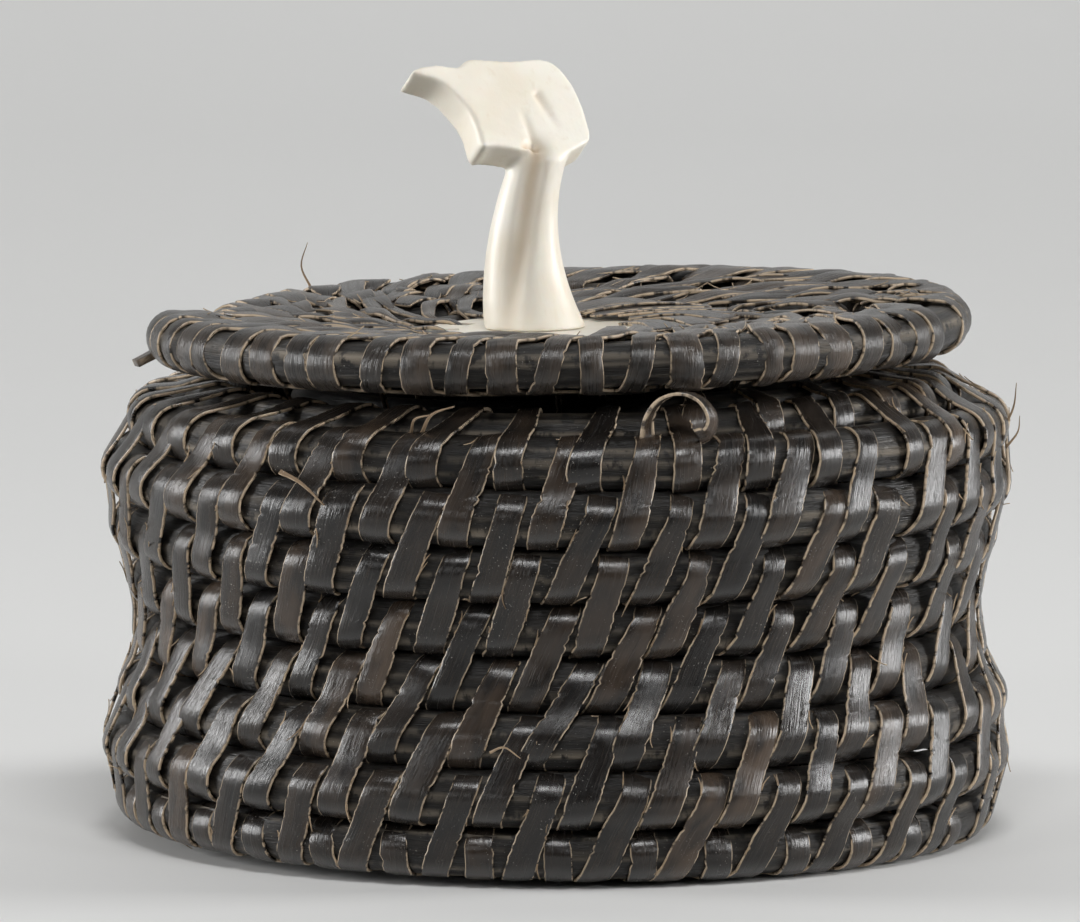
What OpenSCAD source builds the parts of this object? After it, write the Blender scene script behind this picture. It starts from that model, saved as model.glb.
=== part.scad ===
// Coiled baleen basket with a lift-off lid and a carved whale-tail finial.
// Millimetres. The origin is the middle of the base, on the surface it stands on.
// +Z is up and -Y is the front. Coils climb clockwise, seen from above.

/* [Baleen rods] */
// Diameter of the rod that the base, wall, lid and flange are coiled from
rod_d = 4.8; // [4.5:0.1:5.3]

/* [Sewing strips] */
// Thickness of a sewing strip
strip_t = 0.4; // [0.3:0.05:0.5]
// Full width of a sewing strip
strip_w = 3.2; // [2.4:0.05:3.4]
// Clearance of a strip from the rods, and of two strips from each other
strip_gap = 0.13; // [0.08:0.01:0.15]
// Room left between two rods beside the strips that pass there
course_slack = 0.18; // [0.1:0.02:0.3]
// Lean of the wall stitches from upright, in degrees
stitch_lean = 15; // [0:1:18]
// Stitches in a turn of the base; a turn of the wall has twice as many
base_stitches = 17; // [13:1:17]
// Stitches in a turn of the lid
lid_stitches = 29; // [20:1:30]
// Width of a strip that laces a coil to its starter disc
lace_w = 1.6; // [1.2:0.1:1.8]

/* [Base] */
// Whole turns of the flat base coil
base_turns = 4; // [3:1:5]
// Thickness of the starter disc's laced edge
base_disc_edge_t = 3; // [2:0.1:3.4]
// Width of the laced edge, outside the boss that stands on the surface
base_disc_edge_w = 6; // [5:0.5:8]

/* [Wall] */
// Radius of the foot course, to the middle of the rod
foot_r = 45.2; // [41:0.1:50]
// Distance that the lower belly stands out beyond the foot
belly_out = 1.9; // [1:0.1:2.8]
// Distance that the waist is drawn in from the foot
waist_in = 1.7; // [0.5:0.1:2.8]
// Distance that the shoulder stands out beyond the foot
shoulder_out = 1.7; // [1:0.1:2.8]
// Distance that the mouth is drawn in from the foot, to the middle of the last turn's end
mouth_in = 11.8; // [11:0.1:12.4]
// Least rise of a course above the one before it, where the shoulder lies flat
least_rise = 0.7; // [0.4:0.1:1.5]
// Course, counted from the foot, at which the belly is widest
belly_course = 1.3; // [1:0.1:1.6]
// Course at which the waist is narrowest
waist_course = 3.6; // [3.2:0.1:4]
// Course at which the shoulder is reached
shoulder_course = 6.4; // [6:0.1:6.6]
// Course at which the shoulder begins to turn in
turn_course = 6.9; // [6.7:0.1:7]
// Rise of a course from right to left across the front
front_rise = 1.4; // [0.8:0.1:2]

/* [Lid] */
// Distance that the lid reaches beyond the mouth, between the middles of their rods
lid_reach = 8.9; // [7:0.1:10]
// Whole turns of the lid coil
lid_turns = 4; // [3:1:4]
// Depth by which the middle of the lid lies lower than its edge
lid_dish = 2.6; // [1.6:0.1:3]
// Thickness of the lid's starter disc
lid_disc_t = 1.8; // [1.6:0.1:3]
// Clearance between the lid and the rim it rests on
seat_gap = 0.3; // [0.2:0.05:0.5]
// Clearance all round between the lid's flange and the mouth
flange_fit = 0.5; // [0.4:0.1:1.5]

/* [Finial] */
// Height of the stem up to the flukes
stem_h = 18.9; // [16:0.1:22]
// Width of the stem's foot
stem_foot_w = 11.3; // [10:0.1:12]
// Width of the stem under the flukes
stem_neck_w = 6.3; // [5.6:0.1:7]
// Depth of the stem, as a share of its width
stem_flatness = 0.85; // [0.75:0.05:1]
// Distance of the stem's foot from the middle of the lid, to the left
finial_shift = 2.4; // [0:0.1:4]
// Half of the span of the flukes
fluke_half_span = 11.2; // [10:0.1:14]
// Length of the flukes from front edge to back edge, at the middle
fluke_chord = 12.3; // [10:0.1:13]
// Length of the flukes at the tips
fluke_tip_chord = 3.6; // [3:0.1:6]
// Thickness of the flukes
fluke_t = 4; // [3:0.1:5]
// Turn of the flukes about the stem, in degrees
fluke_yaw = 32; // [0:1:45]
// Lean of the flukes backwards, in degrees
fluke_back_lean = 40; // [20:1:50]
// Distance that the tips are swept towards the back edge
fluke_sweep = 3.2; // [0:0.1:4]
// Distance that the tips droop from the plane of the flukes
fluke_droop = 2.4; // [1:0.1:6]
// Height by which the left tip stands above the right one
fluke_roll = 3.9; // [0:0.1:7]
// Diameter of the peg that holds the finial on the lid
peg_d = 4; // [3:0.1:4.2]
// Length of the peg inside the finial
peg_grip = 9; // [6:0.5:12]

/* [Hidden] */
// Turns of the wall, which ends at the front just right of the middle, and its whole rows of stitches
wall_turns = 9.22;
wall_rows = floor(wall_turns) - 1;
$fn = 48;

black_rod = "#2a2624";
black_strip = "#38322e";
ivory = "#efe6d2";

// A wrapped rod, and the distance between the rods of two courses
wrap_r = rod_d / 2 + strip_gap + strip_t;
pitch = rod_d + 2 * strip_t + 3 * strip_gap + course_slack;
// A splice in a rod: its length, its swelling, and the angle by which the half loops stop short in it
splice_l = 1;
splice_swell = 0.03;
splice_trim = 0.2;
// Gap between a starter disc and the coil round it
disc_gap = 0.4;
// Distance of the lacing slots from the edge of a starter disc
slot_inset = 3.2;
// How sharply the shoulder turns in
turn_power = 1.15;
// Further room between the flat base and the foot course, where the coil turns up
foot_slack = 1;
// Share of the free room beside the next strip that a strip may fill
strip_cover = 0.86;
// The flange is one open loop: the angle left out of it, in degrees
flange_split = 8;
// Every so many lid stitches give way to a lashing that goes down round the flange. It is narrow, and stands
// beside the stitch's place by this share of the way to the next one, so that it passes between other strips.
lashing_every = 3;
lashing_w = 0.5;
lashing_aside = 0.25;
// Clearance of the peg in its bores
peg_fit = 0.05;

// Half turns: each coil is a list of [radius, height], first on +X, then -X, and so on.
wall_first = 2 * base_turns;
wall_last = wall_first + ceil(2 * wall_turns);
// The wall is coiled from two lengths of rod, which meet at the left of the shoulder
shoulder_first = wall_first + 2 * floor(shoulder_course) + 1;
belly_r = foot_r + belly_out;
waist_r = foot_r - waist_in;
shoulder_r = foot_r + shoulder_out;
mouth_r = foot_r - mouth_in;
lid_r = mouth_r + lid_reach;
base_first_r = foot_r - foot_slack - base_turns * pitch;
// The lid is a shallow dish: steps out and up from turn to turn
lid_step_up = lid_dish / lid_turns;
lid_step_out = sqrt(pow(pitch, 2) - pow(lid_step_up, 2));
lid_first_r = lid_r - lid_turns * lid_step_out;
lid_last = 2 * lid_turns + 1;

function ease(from, to, n, start, end) =
    from + (to - from) * (1 - cos(180 * (n - start) / (end - start))) / 2;

// Radius of the wall at a course counted from the foot
function wall_r(n) =
    n < belly_course ? ease(foot_r, belly_r, n, 0, belly_course)
    : n < waist_course ? ease(belly_r, waist_r, n, belly_course, waist_course)
    : n < shoulder_course ? ease(waist_r, shoulder_r, n, waist_course, shoulder_course)
    : n < turn_course ? shoulder_r
    : shoulder_r - (shoulder_r - mouth_r) * pow((n - turn_course) / (wall_turns - turn_course), turn_power);

// A course lies one pitch from the course below it, whichever way the wall slopes
function next_half_turn(list, i) =
    let (r = wall_r((i - wall_first) / 2), below = list[i - 2])
    i == wall_first + 1 ? [r, list[i - 1][1] + front_rise]
    : [r, below[1] + sqrt(max(pow(least_rise, 2), pitch * pitch - pow(r - below[0], 2)))];
function climb(list, i) = i > wall_last ? list : climb(concat(list, [next_half_turn(list, i)]), i + 1);

// In the base and the lid the back half of each turn steps out by one pitch
base_path = [for (i = [0 : wall_first])
    [i == wall_first ? foot_r : base_first_r + pitch * floor(i / 2), wrap_r]];
basket_path = climb(base_path, wall_first + 1);
lid_path = [for (i = [0 : lid_last])
    let (turn = floor(i / 2)) [lid_first_r + lid_step_out * turn, lid_step_up * turn - lid_dish]];

function side(i) = i % 2 == 0 ? 1 : -1;
function knot(path, i) = [side(i) * path[i][0], 0, path[i][1]];
function unit(v) = v / norm(v);
function across(v, w) = v - (v * w) * w;

// Point on a coil after t turns. Turns are counted along the arcs where the coil steps out, and otherwise
// about the axis, so that a point lies straight inside or above the one a turn before it.
function at(path, t) =
    let (
        i = min(floor(2 * t), len(path) - 2),
        a = knot(path, i),
        b = knot(path, i + 1),
        middle = (a + b) / 2,
        r = norm(a - b) / 2,
        x = unit(a - b),
        angle = 180 * (2 * t - i),
        steps_out = path[i + 1][0] - path[i][0] > pitch / 2,
        arc = steps_out ? angle : angle + asin(middle * x * sin(angle) / r))
    middle + r * (cos(arc) * x + sin(arc) * [0, -side(i), 0]);
function heading(path, t) = unit(at(path, t + 0.001) - at(path, t - 0.001));
function radius_at(path, t) = norm([at(path, t)[0], at(path, t)[1]]);

// Least gap of a coil to itself, measured on points one turn apart and near it
function self_gap(path, first, last) = min([
    for (t = [first + 1 : 1 / 48 : last], d = [-2 : 2])
        norm(at(path, t) - at(path, max(first, t - 1 + d / 192)))]) - rod_d;
wall_end = base_turns + wall_turns;
echo(str("Least gap of the base coil to itself, mm: ", self_gap(basket_path, 0, base_turns)));
echo(str("Least gap of the wall coil to itself, mm: ", self_gap(basket_path, base_turns, wall_end - 0.02)));
echo(str("Least gap of the lid coil to itself, mm: ", self_gap(lid_path, 0, lid_last / 2 - 0.02)));

// The lid lies on the rim, tilted as the last turn climbs
rim_left = basket_path[wall_last - 2];
rim_right = basket_path[wall_last - 1];
lid_tilt = atan((rim_right[1] - rim_left[1]) / (rim_right[0] + rim_left[0]));
lid_slope = atan(lid_step_up / lid_step_out);
function lid_drop(r) = max(0, lid_r - r) * tan(lid_slope);
seat_z = max([for (t = [wall_end - 1.5 : 1 / 96 : wall_end])
    let (p = at(basket_path, t)) p[2] - p[0] * tan(lid_tilt) + lid_drop(norm([p[0], p[1]]))])
    + 2 * wrap_r / cos(lid_tilt) / cos(lid_slope) + seat_gap;
flange_r = mouth_r - wrap_r - flange_fit - wrap_r;
flange_z = -lid_drop(flange_r) - pitch;
lid_disc_r = lid_first_r - wrap_r - disc_gap;
base_disc_r = base_first_r - wrap_r - disc_gap;
// The lid's disc lies level with the top of the first turn, just clear of the lacing over it
lid_disc_top = wrap_r - strip_t - strip_gap - lid_dish;
lid_disc_bottom = lid_disc_top - lid_disc_t;

function placed(o, x, y, z) = [
    [x[0], y[0], z[0], o[0]], [x[1], y[1], z[1], o[1]], [x[2], y[2], z[2], o[2]], [0, 0, 0, 1]];

module lid_place() {
    translate([0, 0, seat_z]) rotate([0, -lid_tilt, 0]) children();
}

// Coils: half loops of rod, spliced to each other under a slight swelling
module half_loop(path, i, sweep = 180) {
    a = knot(path, i);
    b = knot(path, i + 1);
    x = unit(a - b);
    y = [0, -side(i), 0];
    multmatrix(placed((a + b) / 2, x, y, cross(x, y)))
        rotate_extrude(angle = sweep - 2 * splice_trim, start = splice_trim)
            translate([norm(a - b) / 2, 0]) circle(d = rod_d);
}

module splice(path, i) {
    translate(knot(path, i)) rotate([90, 0, 0])
        cylinder(d = rod_d + 2 * splice_swell, h = splice_l, center = true);
}

module coil(path, first, last, end_sweep = 180) {
    union() {
        for (i = [first : last - 1]) half_loop(path, i);
        half_loop(path, last, end_sweep);
        for (i = [first + 1 : last]) splice(path, i);
    }
}

// A strip round one or two rods: a closed band with round ends
module band_outline(length, r) {
    circle(r);
    translate([length, 0]) circle(r);
    translate([0, -r]) square([length, 2 * r]);
}

module band_ring(length) {
    difference() {
        band_outline(length, wrap_r);
        band_outline(length, wrap_r - strip_t);
    }
}

module band(top, bottom, along, width, lean = 0) {
    length = norm(top - bottom);
    x = unit(top - bottom);
    z = unit(across(along, x));
    reach = length + 2 * wrap_r;
    multmatrix(placed(bottom, x, cross(z, x), z))
        if (lean == 0) {
            linear_extrude(height = width, center = true) band_ring(length);
        } else {
            intersection() {
                linear_extrude(height = 2 * reach, center = true) band_ring(length);
                translate([length / 2, 0, 0]) rotate([0, lean, 0])
                    cube([3 * reach, 3 * reach, width], center = true);
            }
        }
}

module wrap(middle, along, width) {
    x = unit(across([0, 0, 1], along));
    multmatrix(placed(middle, x, cross(along, x), along))
        difference() {
            cylinder(r = wrap_r, h = width, center = true);
            cylinder(r = wrap_r - strip_t, h = 2 * width, center = true);
        }
}

// Strips narrow where the stitches of a turn come close together
function stitch_w(path, t, count) =
    let (r = min(radius_at(path, t), radius_at(path, t - 1)) - wrap_r)
    min(strip_w, strip_cover * PI * r / count * cos(stitch_lean));

module stitch(path, t, lower, count, lean = 0) {
    along = unit(heading(path, t) + heading(path, max(lower, 0.001)));
    band(at(path, t), at(path, lower), along, stitch_w(path, t, count), lean);
}

// Rows of stitches. On the rod that two rows share, each strip lies between two of the other row.
wall_stitches = 2 * base_stitches;
lean_phase = pitch * tan(stitch_lean) * wall_stitches / (2 * PI * waist_r);
base_row_phase = 0.5 / base_stitches;
foot_phase = 2 * base_row_phase + 0.5 / wall_stitches;
function wall_phase(row) =
    foot_phase + (0.5 - 0.75 * lean_phase + (row - 1) * (0.5 - lean_phase)) / wall_stitches;

// Turns at which the flat coil comes nearest to a point that is about one turn further on
function nearest_t(t) =
    let (
        i = floor(2 * t) - 2,
        a = knot(basket_path, i),
        b = knot(basket_path, i + 1),
        away = at(basket_path, t) - (a + b) / 2)
    (i + atan2(-side(i) * away[1], away * unit(a - b)) / 180) / 2;
function foot_t(k) = base_turns + foot_phase + k / wall_stitches;
function foot_lower(k) = foot_t(k) < base_turns + 1 ? nearest_t(foot_t(k)) : foot_t(k) - 1;
// The last row of the base keeps midway between the foot stitches
function base_t(row, k) =
    row == base_turns - 1 ? (foot_lower(2 * k - 1) + foot_lower(2 * k)) / 2
    : row + (row - 1) * base_row_phase + k / base_stitches;

module base_row(row) {
    color(black_strip)
        for (k = [0 : base_stitches - 1])
            stitch(basket_path, base_t(row, k), nearest_t(base_t(row, k)), base_stitches);
}

module foot_stitches() {
    color(black_strip)
        for (k = [0 : wall_stitches - 1])
            stitch(basket_path, foot_t(k), foot_lower(k), wall_stitches);
}

module wall_row(row) {
    color(black_strip)
        for (k = [0 : wall_stitches - 1])
            let (t = base_turns + row + wall_phase(row) + k / wall_stitches)
                if (t < wall_end - 0.5 / wall_stitches)
                    stitch(basket_path, t, t - 1, wall_stitches, stitch_lean);
}

// Lid stitches that go down round the flange are left out of the lid's own rows
lid_row_phase = 0.5 / lid_stitches;
function lid_t(row, k) = row + (row - 1) * lid_row_phase + k / lid_stitches;
function is_lashing(t, k) =
    k % lashing_every == 0 && abs(radius_at(lid_path, t - 1) - flange_r) < pitch / 2;

module lid_row(row) {
    color(black_strip) lid_place()
        for (k = [0 : lid_stitches - 1])
            if (lid_t(row, k) < lid_last / 2 && !is_lashing(lid_t(row, k), k))
                stitch(lid_path, lid_t(row, k), lid_t(row, k) - 1, lid_stitches);
}

module lid_edge_wraps() {
    color(black_strip) lid_place()
        for (row = [lid_turns - 1 : lid_turns], k = [0 : lid_stitches - 1])
            let (t = lid_t(row, k + 0.5))
                if (t > lid_last / 2 - 1 && t < lid_last / 2 - lid_row_phase)
                    wrap(at(lid_path, t), heading(lid_path, t), stitch_w(lid_path, t, lid_stitches));
}

module lid_flange_lashings() {
    color(black_strip) lid_place()
        for (row = [1 : lid_turns], k = [0 : lid_stitches - 1])
            let (t = lid_t(row, k))
                if (t < lid_last / 2 && is_lashing(t, k)) {
                    lower = t - 1 + lashing_aside / lid_stitches;
                    rod = at(lid_path, lower);
                    out = unit([rod[0], rod[1], 0]);
                    along = unit(heading(lid_path, lower) + cross(out, [0, 0, 1]));
                    band(rod, flange_r * out + [0, 0, flange_z], along, lashing_w);
                }
}

// Lacing: a strip through a slot in the disc and round the coil's first turn, midway between two stitches
module lacing(path, disc_r, laces, z) {
    slot_r = disc_r - slot_inset;
    for (t = laces) {
        rod = at(path, t);
        out = unit([rod[0], rod[1], 0]);
        inner = (slot_r + wrap_r - strip_t / 2) * out + [0, 0, z];
        band(rod, inner, cross(out, [0, 0, 1]), lace_w);
    }
}

// A slot clears the lace's round end, all the way to the disc face that lies furthest from the rod's middle
module lacing_slots(path, disc_r, laces, face) {
    slot_r = disc_r - slot_inset;
    inside_r = wrap_r - strip_t;
    first = slot_r - strip_t / 2 - 2 * strip_gap;
    last = slot_r + strip_t / 2 + inside_r - sqrt(pow(inside_r, 2) - pow(face, 2)) + strip_gap;
    for (t = laces) {
        rod = at(path, t);
        rotate(atan2(rod[1], rod[0])) translate([first, -lace_w / 2 - 2 * strip_gap, -3 * rod_d])
            cube([last - first, lace_w + 4 * strip_gap, 6 * rod_d]);
    }
}

base_laces = [for (k = [0 : base_stitches - 1]) (k + 0.5) / base_stitches];

module base_starter_disc() {
    bottom = wrap_r - base_disc_edge_t / 2;
    top = wrap_r + base_disc_edge_t / 2;
    color(ivory) difference() {
        union() {
            translate([0, 0, bottom]) cylinder(r = base_disc_r, h = top - bottom);
            cylinder(r = base_disc_r - base_disc_edge_w, h = top);
        }
        lacing_slots(basket_path, base_disc_r, base_laces, base_disc_edge_t / 2);
    }
}

module base_lacing() {
    color(black_strip) lacing(basket_path, base_disc_r, base_laces, wrap_r);
}

module base_coil() {
    color(black_rod) coil(basket_path, 0, wall_first - 1);
}

module wall_coil() {
    color(black_rod) coil(basket_path, wall_first, shoulder_first - 1);
}

module shoulder_coil() {
    end_sweep = 180 * (2 * wall_end - wall_last + 1);
    color(black_rod) coil(basket_path, shoulder_first, wall_last - 1, end_sweep);
}

// The lid's first turn is laced to the disc until it leaves the disc's edge
lid_laces = [for (k = [0 : 2 : lid_stitches - 7]) (k + 0.5) / lid_stitches];

module lid_starter_disc() {
    color(ivory) lid_place() difference() {
        translate([0, 0, lid_disc_bottom]) cylinder(r = lid_disc_r, h = lid_disc_t);
        lacing_slots(lid_path, lid_disc_r, lid_laces, lid_disc_top + lid_dish);
        translate([-finial_shift, 0, 0])
            cylinder(d = peg_d + 2 * peg_fit, h = 6 * lid_disc_t, center = true);
    }
}

module lid_lacing() {
    color(black_strip) lid_place() lacing(lid_path, lid_disc_r, lid_laces, -lid_dish);
}

module lid_coil() {
    color(black_rod) lid_place() coil(lid_path, 0, lid_last - 1);
}

module lid_flange_coil() {
    color(black_rod) lid_place() translate([0, 0, flange_z]) rotate(90 + flange_split / 2)
        rotate_extrude(angle = 360 - flange_split) translate([flange_r, 0]) circle(d = rod_d);
}

// Finial: a waisted stem and a pair of flukes, each skinned over rings of points
module skin(rings) {
    count = len(rings[0]);
    last = len(rings) - 1;
    points = [for (ring = rings, p = ring) p];
    sides = [for (i = [0 : last - 1], j = [0 : count - 1], corner = [0, 1])
        let (a = i * count + j, b = i * count + (j + 1) % count)
        corner == 0 ? [a, b, b + count] : [a, b + count, a + count]];
    floor_face = [for (j = [count - 1 : -1 : 0]) j];
    roof_face = [for (j = [0 : count - 1]) last * count + j];
    polyhedron(points, concat(sides, [roof_face], [floor_face]));
}

stem_steps = 12;
stem_sides = 16;
// The stem bows to the left, leans to the right and flares towards its foot
stem_bow = 1.2;
stem_lean = 0.8;
stem_flare = 1.6;
// The stem runs on into the flukes by this share of their length, and leans back and narrows with them
stem_overrun = 0.55;
stem_top = 1 + stem_overrun * fluke_chord / stem_h;
stem_end_share = 0.35;
function stem_ring(u) =
    let (
        over = max(0, u - 1),
        w = (stem_neck_w + (stem_foot_w - stem_neck_w) * pow(max(0, 1 - u), stem_flare)) / 2
            * (1 - (1 - stem_end_share) * over / (stem_top - 1)),
        x = stem_lean * u - 4 * stem_bow * u * (1 - min(u, 1)),
        back = over * stem_h * tan(fluke_back_lean) * fluke_back)
    [for (j = [0 : stem_sides - 1])
        let (a = -360 * j / stem_sides)
        [x + w * cos(a), stem_flatness * w * sin(a), stem_h * u] + back];

fluke_steps = 12;
fluke_sides = 12;
fluke_back = [-sin(fluke_yaw), cos(fluke_yaw), 0];
fluke_side = [cos(fluke_yaw), sin(fluke_yaw), 0];
fluke_up = cos(fluke_back_lean) * [0, 0, 1] + sin(fluke_back_lean) * fluke_back;
fluke_face = cross(fluke_side, fluke_up);
// Share of the half span over which the flukes keep their full length, and thickness of the tips as a share
fluke_full = 0.5;
fluke_tip_share = 0.7;
// Share of their length by which the middle of the flukes lies above the stem
fluke_rise = 0.48;
function fluke_length(s) =
    abs(s) < fluke_full ? fluke_chord : ease(fluke_chord, fluke_tip_chord, abs(s), fluke_full, 1);
function fluke_middle(s) =
    [stem_lean, 0, stem_h] + fluke_half_span * s * fluke_side - [0, 0, fluke_roll / 2 * s]
    + (fluke_rise * fluke_chord + fluke_sweep * s * s) * fluke_up - fluke_droop * s * s * fluke_face;
function fluke_thickness(s) = fluke_t * (1 - (1 - fluke_tip_share) * s * s);
// Each ring is a rounded oblong
oblong_power = 0.6;
function oblong(v) = sign(v) * pow(abs(v), oblong_power) / 2;
function fluke_ring(s) =
    [for (j = [0 : fluke_sides - 1])
        let (a = -360 * j / fluke_sides)
        fluke_middle(s) + fluke_length(s) * oblong(cos(a)) * fluke_up
            + fluke_thickness(s) * oblong(sin(a)) * fluke_face];

module finial() {
    color(ivory) lid_place() translate([-finial_shift, 0, lid_disc_top]) difference() {
        union() {
            skin([for (i = [0 : stem_steps]) stem_ring(i / stem_steps * stem_top)]);
            skin([for (i = [0 : fluke_steps]) fluke_ring(2 * i / fluke_steps - 1)]);
        }
        cylinder(d = peg_d + 2 * peg_fit, h = 2 * (peg_grip + peg_fit), center = true);
    }
}

module finial_peg() {
    color(black_rod) lid_place() translate([-finial_shift, 0, lid_disc_bottom])
        cylinder(d = peg_d, h = lid_disc_t + peg_grip);
}

base_starter_disc();
base_lacing();
base_coil();
foot_stitches();
wall_coil();
shoulder_coil();
wall_row(wall_rows + 1);  // coil_end_stitches
for (n = [1 : base_turns - 1]) base_row(n);
for (n = [1 : wall_rows]) wall_row(n);
lid_starter_disc();
lid_lacing();
lid_coil();
lid_edge_wraps();
for (n = [1 : lid_turns]) lid_row(n);
lid_flange_coil();
lid_flange_lashings();
finial();
finial_peg();
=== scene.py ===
"""Looks of the coiled baleen basket: rods, sewing strips, lid, carved finial, floor, light and camera."""
import math
import random

import bpy
import numpy as np
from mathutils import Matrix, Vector


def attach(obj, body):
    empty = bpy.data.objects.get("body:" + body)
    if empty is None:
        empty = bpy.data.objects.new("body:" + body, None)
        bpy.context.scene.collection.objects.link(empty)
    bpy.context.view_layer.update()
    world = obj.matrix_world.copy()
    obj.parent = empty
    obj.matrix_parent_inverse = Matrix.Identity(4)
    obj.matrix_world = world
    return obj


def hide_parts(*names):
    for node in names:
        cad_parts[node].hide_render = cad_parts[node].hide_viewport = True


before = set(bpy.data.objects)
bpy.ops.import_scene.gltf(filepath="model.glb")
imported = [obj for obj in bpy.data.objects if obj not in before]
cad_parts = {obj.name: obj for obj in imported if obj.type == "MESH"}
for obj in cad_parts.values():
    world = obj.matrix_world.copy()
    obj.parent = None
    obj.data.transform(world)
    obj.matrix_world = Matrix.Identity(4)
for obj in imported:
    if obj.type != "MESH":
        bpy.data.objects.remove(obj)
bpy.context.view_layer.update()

# Sizes in millimetres, as in the CAD model. Meshes are made in metres.
MM = 0.001
ROD_D = 4.8
STRIP_T = 0.4
STRIP_W = 3.2
STRIP_GAP = 0.13
COURSE_SLACK = 0.18
LEAN = math.radians(15)
BASE_STITCHES = 17
WALL_STITCHES = 2 * BASE_STITCHES
LID_STITCHES = 29
LACE_W = 1.6
BASE_TURNS = 4
FOOT_R = 45.2
BELLY_R = FOOT_R + 1.9
WAIST_R = FOOT_R - 1.7
SHOULDER_R = FOOT_R + 1.7
MOUTH_R = FOOT_R - 11.8
LID_R = MOUTH_R + 8.9
LEAST_RISE = 0.7
BELLY_COURSE = 1.3
WAIST_COURSE = 3.6
SHOULDER_COURSE = 6.4
TURN_COURSE = 6.9
TURN_POWER = 1.15
FRONT_RISE = 1.4
FOOT_SLACK = 1.0
WALL_TURNS = 9.22
WALL_END = BASE_TURNS + WALL_TURNS
SHOULDER_START = BASE_TURNS + math.floor(SHOULDER_COURSE) + 0.5
WALL_ROWS = 8
LID_TURNS = 4
LID_DISH = 2.6
SEAT_GAP = 0.3
FLANGE_FIT = 0.5
FLANGE_SPLIT = math.radians(8)
LASHING_EVERY = 3
LASHING_W = 0.5
LASHING_ASIDE = 0.25
DISC_GAP = 0.4
SLOT_INSET = 3.2
STRIP_COVER = 0.86
WRAP_R = ROD_D / 2 + STRIP_GAP + STRIP_T
PITCH = ROD_D + 2 * STRIP_T + 3 * STRIP_GAP + COURSE_SLACK
BASE_FIRST_R = FOOT_R - FOOT_SLACK - BASE_TURNS * PITCH
LID_STEP_UP = LID_DISH / LID_TURNS
LID_STEP_OUT = math.sqrt(PITCH ** 2 - LID_STEP_UP ** 2)
LID_FIRST_R = LID_R - LID_TURNS * LID_STEP_OUT
LID_END = LID_TURNS + 0.5
FLANGE_R = MOUTH_R - 2 * WRAP_R - FLANGE_FIT
LID_DISC_R = LID_FIRST_R - WRAP_R - DISC_GAP
BASE_DISC_R = BASE_FIRST_R - WRAP_R - DISC_GAP
LID_DISC_TOP = WRAP_R - STRIP_T - STRIP_GAP - LID_DISH

chance = random.Random(11)
UP = np.array([0.0, 0.0, 1.0])
# A very short way along a coil, in turns
NUDGE = 0.001


def unit(v):
    return v / np.linalg.norm(v)


def units(rows):
    return rows / np.linalg.norm(rows, axis=1)[:, None]


def run_along(points):
    """Length of a line of points up to each of them."""
    return np.concatenate([[0.0], np.cumsum(np.linalg.norm(np.diff(points, axis=0), axis=1))])


def smooth(x):
    x = np.clip(x, 0.0, 1.0)
    return x * x * (3 - 2 * x)


# Coils: (radius, height) at every half turn, first on +X, then on -X, and so on
def side(i):
    return 1.0 if i % 2 == 0 else -1.0


def ease(a, b, n, start, end):
    return a + (b - a) * (1 - math.cos(math.pi * (n - start) / (end - start))) / 2


def wall_r(n):
    if n < BELLY_COURSE:
        return ease(FOOT_R, BELLY_R, n, 0, BELLY_COURSE)
    if n < WAIST_COURSE:
        return ease(BELLY_R, WAIST_R, n, BELLY_COURSE, WAIST_COURSE)
    if n < SHOULDER_COURSE:
        return ease(WAIST_R, SHOULDER_R, n, WAIST_COURSE, SHOULDER_COURSE)
    if n < TURN_COURSE:
        return SHOULDER_R
    turned = (n - TURN_COURSE) / (WALL_TURNS - TURN_COURSE)
    return SHOULDER_R - (SHOULDER_R - MOUTH_R) * turned ** TURN_POWER


def make_basket_path():
    first = 2 * BASE_TURNS
    last = first + math.ceil(2 * WALL_TURNS)
    path = [(BASE_FIRST_R + PITCH * (i // 2), WRAP_R) for i in range(first)]
    path.append((FOOT_R, WRAP_R))
    for i in range(first + 1, last + 1):
        r = wall_r((i - first) / 2)
        if i == first + 1:
            path.append((r, path[i - 1][1] + FRONT_RISE))
        else:
            rise = PITCH ** 2 - (r - path[i - 2][0]) ** 2
            path.append((r, path[i - 2][1] + math.sqrt(max(LEAST_RISE ** 2, rise))))
    return path


BASKET = make_basket_path()
LID = [
    (LID_FIRST_R + LID_STEP_OUT * (i // 2), LID_STEP_UP * (i // 2) - LID_DISH)
    for i in range(2 * LID_TURNS + 2)
]


def knot(path, i):
    return np.array([side(i) * path[i][0], 0.0, path[i][1]])


def at(path, t):
    """Point on a coil after t turns, as the CAD model counts them."""
    i = min(int(math.floor(2 * t)), len(path) - 2)
    a = knot(path, i)
    b = knot(path, i + 1)
    middle = (a + b) / 2
    r = np.linalg.norm(a - b) / 2
    x = unit(a - b)
    arc = math.pi * (2 * t - i)
    if path[i + 1][0] - path[i][0] < PITCH / 2:
        arc += math.asin(float(middle @ x) * math.sin(arc) / r)
    return middle + r * (math.cos(arc) * x + math.sin(arc) * np.array([0.0, -side(i), 0.0]))


def heading(path, t):
    t = max(t, NUDGE)
    return unit(at(path, t + NUDGE) - at(path, t - NUDGE))


def radius_at(path, t):
    p = at(path, t)
    return math.hypot(p[0], p[1])


def nearest_t(t):
    """Turns at which the flat base comes nearest to a point about one turn further on."""
    i = int(math.floor(2 * t)) - 2
    a = knot(BASKET, i)
    b = knot(BASKET, i + 1)
    away = at(BASKET, t) - (a + b) / 2
    return max(0.0, (i + math.atan2(-side(i) * away[1], float(away @ unit(a - b))) / math.pi) / 2)


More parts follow.
